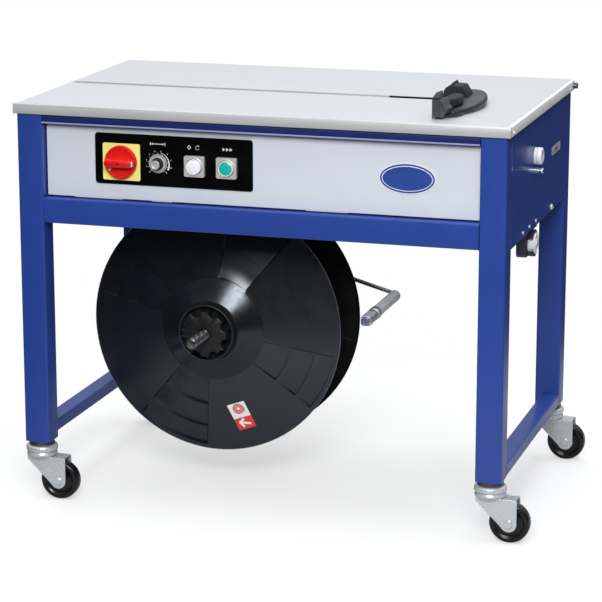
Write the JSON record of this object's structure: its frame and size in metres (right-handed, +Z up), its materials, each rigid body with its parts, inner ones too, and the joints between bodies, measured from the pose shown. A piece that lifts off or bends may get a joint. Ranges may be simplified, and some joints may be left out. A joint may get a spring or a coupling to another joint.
{
  "type": "semi-automatic strapping machine",
  "caption": "Wheeled blue steel strapping table with a lifting top, front control panel, strap reel under the table, brake arm and strap guide.",
  "frame": {"origin": "centre of the bounding box at floor level, under the casters", "axes": "+X to the operator's right, along the table; +Y away from the operator; +Z up"},
  "size_m": [0.951, 0.5739, 0.7865],
  "materials": {
    "blue_paint": "semi-gloss powder coat",
    "silver_panel": "satin",
    "black_plastic": "satin",
    "yellow_plastic": "satin",
    "red_plastic": "gloss",
    "grey_plastic": "satin",
    "white_plastic": "gloss",
    "teal_plastic": "gloss",
    "stainless_top": "fine brushed",
    "aluminium": "satin",
    "zinc": "bright zinc plate",
    "rubber": "satin",
    "reel_plastic": "semi-gloss moulded",
    "chrome": "polished",
    "dark_enamel": "enamel"
  },
  "bodies": {
    "frame": {"leg_front_left": "blue_paint", "leg_rear_left": "blue_paint", "leg_front_right": "blue_paint", "leg_rear_right": "blue_paint", "stretcher_left": "blue_paint", "stretcher_right": "blue_paint", "rail_front_lower": "blue_paint", "rail_front_upper": "blue_paint", "rail_rear_lower": "blue_paint", "side_panel_left": "blue_paint", "side_panel_right": "blue_paint", "rear_panel": "blue_paint", "reel_hanger": "blue_paint", "front_panel": "silver_panel", "control_plate": "black_plastic", "inlet_bracket": "black_plastic", "switch_plate": "yellow_plastic", "reset_bezel": "grey_plastic", "feed_bezel": "grey_plastic", "gearbox": "aluminium", "hinge_rod": "zinc", "reel_shaft": "zinc", "mechanism_frame": "zinc", "caster_stem_front_left": "zinc", "caster_stem_rear_left": "zinc", "caster_stem_front_right": "zinc", "caster_stem_rear_right": "zinc", "drive_belt": "rubber", "drive_motor": "dark_enamel", "control_box": "dark_enamel"},
    "table": {"table_plate": "stainless_top", "table_trim_front": "aluminium", "table_strip_left": "aluminium", "table_strip_right": "aluminium", "strap_guide": "black_plastic"},
    "reel": {"reel_core": "reel_plastic", "reel_flange_front": "reel_plastic", "reel_flange_rear": "reel_plastic"},
    "reel_collar": {"reel_collar": "reel_plastic"},
    "reel_nut": {"reel_nut": "reel_plastic"},
    "brake_arm": {"brake_arm": "chrome"},
    "arm_sleeve": {"arm_sleeve": "silver_panel"},
    "main_switch": {"main_switch_knob": "red_plastic"},
    "length_dial": {"length_dial": "black_plastic"},
    "reset_button": {"reset_button": "white_plastic"},
    "feed_button": {"feed_button": "teal_plastic"},
    "inlet_roller": {"inlet_roller": "white_plastic"},
    "tension_dial": {"tension_dial": "white_plastic"},
    "tension_lock": {"tension_lock": "zinc"},
    "motor_pulley": {"motor_pulley": "aluminium"},
    "gearbox_pulley": {"gearbox_pulley": "aluminium"},
    "feed_roller": {"feed_roller": "rubber"},
    "caster_front_left": {"caster_fork_front_left": "zinc"},
    "wheel_front_left": {"caster_wheel_front_left": "rubber"},
    "caster_rear_left": {"caster_fork_rear_left": "zinc"},
    "wheel_rear_left": {"caster_wheel_rear_left": "rubber"},
    "caster_front_right": {"caster_fork_front_right": "zinc"},
    "wheel_front_right": {"caster_wheel_front_right": "rubber"},
    "caster_rear_right": {"caster_fork_rear_right": "zinc"},
    "wheel_rear_right": {"caster_wheel_rear_right": "rubber"}
  },
  "joints": [
    {"name": "table_lid", "type": "hinge", "parent": "frame", "child": "table", "pos_m": [-0.0175, 0.2732, 0.7251], "axis": [-1, 0, 0], "range_deg": [0, 70]},
    {"name": "swivel_front_left", "type": "hinge", "parent": "frame", "child": "caster_front_left", "pos_m": [-0.4385, -0.2528, 0.09], "axis": [0, 0, 1], "continuous": true},
    {"name": "roll_front_left", "type": "hinge", "parent": "caster_front_left", "child": "wheel_front_left", "pos_m": [-0.4025, -0.2528, 0.036], "axis": [0, 1, 0], "continuous": true},
    {"name": "swivel_rear_left", "type": "hinge", "parent": "frame", "child": "caster_rear_left", "pos_m": [-0.4385, 0.2592, 0.09], "axis": [0, 0, 1], "continuous": true},
    {"name": "roll_rear_left", "type": "hinge", "parent": "caster_rear_left", "child": "wheel_rear_left", "pos_m": [-0.4025, 0.2592, 0.036], "axis": [0, 1, 0], "continuous": true},
    {"name": "swivel_front_right", "type": "hinge", "parent": "frame", "child": "caster_front_right", "pos_m": [0.4035, -0.2528, 0.09], "axis": [0, 0, 1], "continuous": true},
    {"name": "roll_front_right", "type": "hinge", "parent": "caster_front_right", "child": "wheel_front_right", "pos_m": [0.4395, -0.2528, 0.036], "axis": [0, 1, 0], "continuous": true},
    {"name": "swivel_rear_right", "type": "hinge", "parent": "frame", "child": "caster_rear_right", "pos_m": [0.4035, 0.2592, 0.09], "axis": [0, 0, 1], "continuous": true},
    {"name": "roll_rear_right", "type": "hinge", "parent": "caster_rear_right", "child": "wheel_rear_right", "pos_m": [0.4395, 0.2592, 0.036], "axis": [0, 1, 0], "continuous": true},
    {"name": "reel_spin", "type": "hinge", "parent": "frame", "child": "reel", "pos_m": [-0.1565, 0.0032, 0.304], "axis": [0, 1, 0], "continuous": true},
    {"name": "collar_release", "type": "slide", "parent": "reel", "child": "reel_collar", "axis": [0, -1, 0], "range_m": [0, 0.005]},
    {"name": "nut_turn", "type": "hinge", "parent": "reel_collar", "child": "reel_nut", "pos_m": [-0.1565, -0.1438, 0.304], "axis": [0, -1, 0], "range_deg": [0, 720]},
    {"name": "brake_arm_swing", "type": "hinge", "parent": "frame", "child": "brake_arm", "pos_m": [-0.0475, 0.0752, 0.402], "axis": [0, -1, 0], "range_deg": [0, 40]},
    {"name": "sleeve_spin", "type": "hinge", "parent": "brake_arm", "child": "arm_sleeve", "pos_m": [0.1455, 0.0032, 0.348], "axis": [0, 1, 0], "continuous": true},
    {"name": "main_switch_turn", "type": "hinge", "parent": "frame", "child": "main_switch", "pos_m": [-0.2693, -0.2637, 0.6365], "axis": [0, 1, 0], "range_deg": [0, 90]},
    {"name": "length_dial_turn", "type": "hinge", "parent": "frame", "child": "length_dial", "pos_m": [-0.2015, -0.2614, 0.6365], "axis": [0, 1, 0], "range_deg": [0, 300]},
    {"name": "reset_press", "type": "slide", "parent": "frame", "child": "reset_button", "axis": [0, 1, 0], "range_m": [0, 0.003], "stiffness_N_per_m": 400},
    {"name": "feed_press", "type": "slide", "parent": "frame", "child": "feed_button", "axis": [0, 1, 0], "range_m": [0, 0.003], "stiffness_N_per_m": 400},
    {"name": "inlet_roller_spin", "type": "hinge", "parent": "frame", "child": "inlet_roller", "pos_m": [0.4273, -0.0468, 0.489], "axis": [1, 0, 0], "continuous": true},
    {"name": "tension_dial_turn", "type": "hinge", "parent": "frame", "child": "tension_dial", "pos_m": [0.4273, -0.0468, 0.647], "axis": [1, 0, 0], "range_deg": [0, 300]},
    {"name": "tension_lock_turn", "type": "hinge", "parent": "frame", "child": "tension_lock", "pos_m": [0.4273, -0.0468, 0.621], "axis": [1, 0, 0], "range_deg": [-90, 0]},
    {"name": "motor_turn", "type": "hinge", "parent": "frame", "child": "motor_pulley", "pos_m": [0.3025, 0.0032, 0.605], "axis": [0, 1, 0], "continuous": true},
    {"name": "gearbox_turn", "type": "hinge", "parent": "frame", "child": "gearbox_pulley", "pos_m": [0.1875, 0.0032, 0.605], "axis": [0, 1, 0], "continuous": true},
    {"name": "feed_turn", "type": "hinge", "parent": "frame", "child": "feed_roller", "pos_m": [0.1875, 0.0032, 0.668], "axis": [0, 1, 0], "continuous": true}
  ],
  "couplings": [
    {"joint": "collar_release", "follows": "nut_turn", "m_per_rad": 0.00039789},
    {"joint": "gearbox_turn", "follows": "motor_turn", "ratio": 0.625},
    {"joint": "feed_turn", "follows": "motor_turn", "ratio": -0.05}
  ]
}
